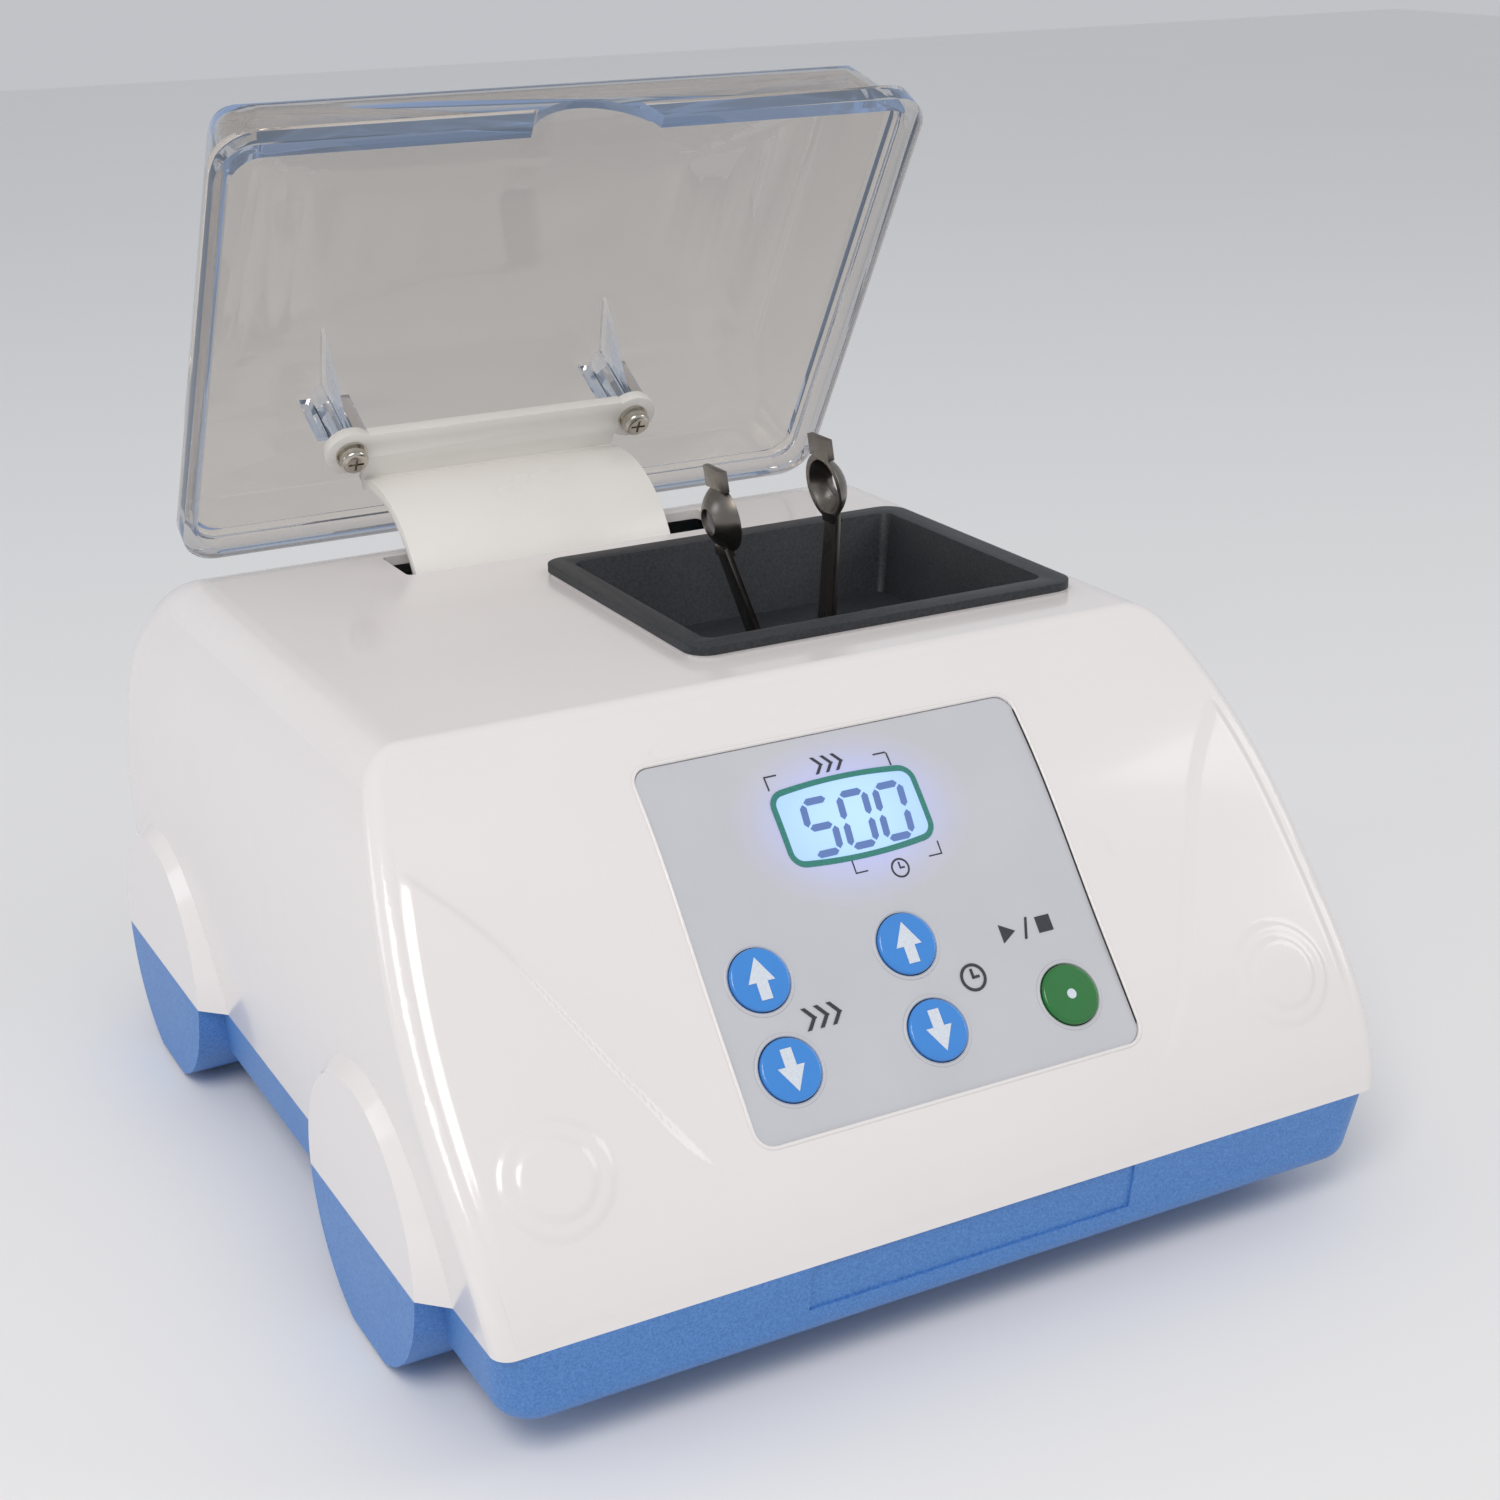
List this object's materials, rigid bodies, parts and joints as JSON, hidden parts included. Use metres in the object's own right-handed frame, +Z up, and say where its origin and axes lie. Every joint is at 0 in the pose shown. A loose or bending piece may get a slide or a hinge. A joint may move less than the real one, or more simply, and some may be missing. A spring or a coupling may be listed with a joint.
{
  "type": "dental capsule mixer",
  "caption": "Bench-top capsule mixer: sloping key panel and display, sunken tray with a two-armed shaking fork, and a clear flip-up lid on a swinging arm.",
  "frame": {"origin": "on the bench plane under the middle of the outline, with the lid open", "axes": "+X to the right seen from the key panel, +Y to the back, +Z up"},
  "size_m": [0.236, 0.256, 0.2503],
  "materials": {
    "housing_white": "moulded gloss ABS, warm white",
    "base_blue": "moulded ABS with fine texture, mid blue",
    "rubber_black": "moulded rubber",
    "screw_nickel": "nickel-plated steel",
    "overlay_silver": "printed satin polycarbonate film, silver grey",
    "key_blue": "domed gloss plastic, sky blue with light arrow",
    "key_green": "domed gloss plastic, green",
    "clear_window": "clear acrylic window",
    "display_backlight": "back-lit display module",
    "board_green": "glass-epoxy circuit board",
    "switch_black": "moulded nylon, black",
    "tray_black": "moulded matte ABS, charcoal black",
    "lid_clear": "clear moulded styrene acrylic with a blue edge tint",
    "arm_white": "moulded acetal, white",
    "steel_plated": "zinc-plated steel",
    "spring_steel": "hardened stainless strip, darkened",
    "aluminium_cast": "machined aluminium",
    "bronze": "sintered bronze",
    "ferrite": "ferrite",
    "copper_windings": "taped copper winding",
    "nylon_white": "nylon"
  },
  "bodies": {
    "base": {"bearing_outer_rings": "steel_plated", "board_capacitors": "switch_black", "board_screws": "steel_plated", "bracket_screws": "steel_plated", "control_board": "board_green", "display_lens": "clear_window", "display_module": "display_backlight", "drive_frame": "aluminium_cast", "foot_pads": "rubber_black", "fuse_holder": "switch_black", "guide_block": "nylon_white", "heat_sink": "aluminium_cast", "hinge_brackets": "steel_plated", "hinge_pin": "steel_plated", "hinge_spacers": "nylon_white", "housing_screws": "steel_plated", "inlet_pins": "bronze", "inlet_screws": "screw_nickel", "keypad_overlay": "overlay_silver", "lid_sensor": "switch_black", "lower_housing": "base_blue", "mains_inlet": "switch_black", "mixing_tray": "tray_black", "motor_bushes": "bronze", "motor_can": "steel_plated", "motor_end_caps": "aluminium_cast", "motor_magnets": "ferrite", "motor_screws": "steel_plated", "mount_screws": "steel_plated", "power_board": "board_green", "switch_body": "switch_black", "tact_switches": "switch_black", "transformer_coil": "copper_windings", "transformer_core": "steel_plated", "upper_housing": "housing_white", "vibration_mounts": "rubber_black"},
    "lid": {"lid_cover": "lid_clear", "hinge_arm": "arm_white", "lid_screws": "screw_nickel", "lid_washers": "screw_nickel", "lid_magnet": "steel_plated"},
    "rotor": {"motor_rotor": "steel_plated", "motor_shaft": "steel_plated", "shaft_coupling": "aluminium_cast", "drive_shaft": "steel_plated", "bearing_inner_rings": "steel_plated", "skew_hub": "steel_plated", "balance_weight": "steel_plated"},
    "fork": {"fork_carrier": "aluminium_cast", "wobble_ring": "bronze", "guide_pin": "steel_plated", "fork_arm_left": "spring_steel", "fork_arm_right": "spring_steel", "fork_bolt": "steel_plated"},
    "power_rocker": {"rocker": "switch_black"},
    "key_speed_up_body": {"key_speed_up": "key_blue"},
    "key_speed_down_body": {"key_speed_down": "key_blue"},
    "key_timer_up_body": {"key_timer_up": "key_blue"},
    "key_timer_down_body": {"key_timer_down": "key_blue"},
    "key_start_body": {"key_start": "key_green"}
  },
  "joints": [
    {"name": "lid_hinge", "type": "hinge", "parent": "base", "child": "lid", "pos_m": [0, 0.101, 0.1127], "axis": [1, 0, 0], "range_deg": [0, 59.46]},
    {"name": "drive_spin", "type": "hinge", "parent": "base", "child": "rotor", "pos_m": [0.0457, 0.02, 0.062], "axis": [1, 0, 0], "continuous": true},
    {"name": "fork_rock", "type": "hinge", "parent": "base", "child": "fork", "pos_m": [0.0457, 0.02, 0.062], "axis": [0, 1, 0], "range_deg": [0, 16]},
    {"name": "power_rocker_tilt", "type": "hinge", "parent": "base", "child": "power_rocker", "pos_m": [0.022, 0.123, 0.05], "axis": [1, 0, 0], "range_deg": [-14, 0]},
    {"name": "key_speed_up_press", "type": "slide", "parent": "base", "child": "key_speed_up_body", "axis": [0, 0.7787, -0.6274], "range_m": [0, 0.0006], "stiffness_N_per_m": 2500, "springref_m": -0.0001},
    {"name": "key_speed_down_press", "type": "slide", "parent": "base", "child": "key_speed_down_body", "axis": [0, 0.7472, -0.6646], "range_m": [0, 0.0006], "stiffness_N_per_m": 2500, "springref_m": -0.0001},
    {"name": "key_timer_up_press", "type": "slide", "parent": "base", "child": "key_timer_up_body", "axis": [0, 0.7785, -0.6277], "range_m": [0, 0.0006], "stiffness_N_per_m": 2500, "springref_m": -0.0001},
    {"name": "key_timer_down_press", "type": "slide", "parent": "base", "child": "key_timer_down_body", "axis": [0, 0.7472, -0.6646], "range_m": [0, 0.0006], "stiffness_N_per_m": 2500, "springref_m": -0.0001},
    {"name": "key_start_press", "type": "slide", "parent": "base", "child": "key_start_body", "axis": [0, 0.7473, -0.6645], "range_m": [0, 0.0006], "stiffness_N_per_m": 2500, "springref_m": -0.0001}
  ]
}
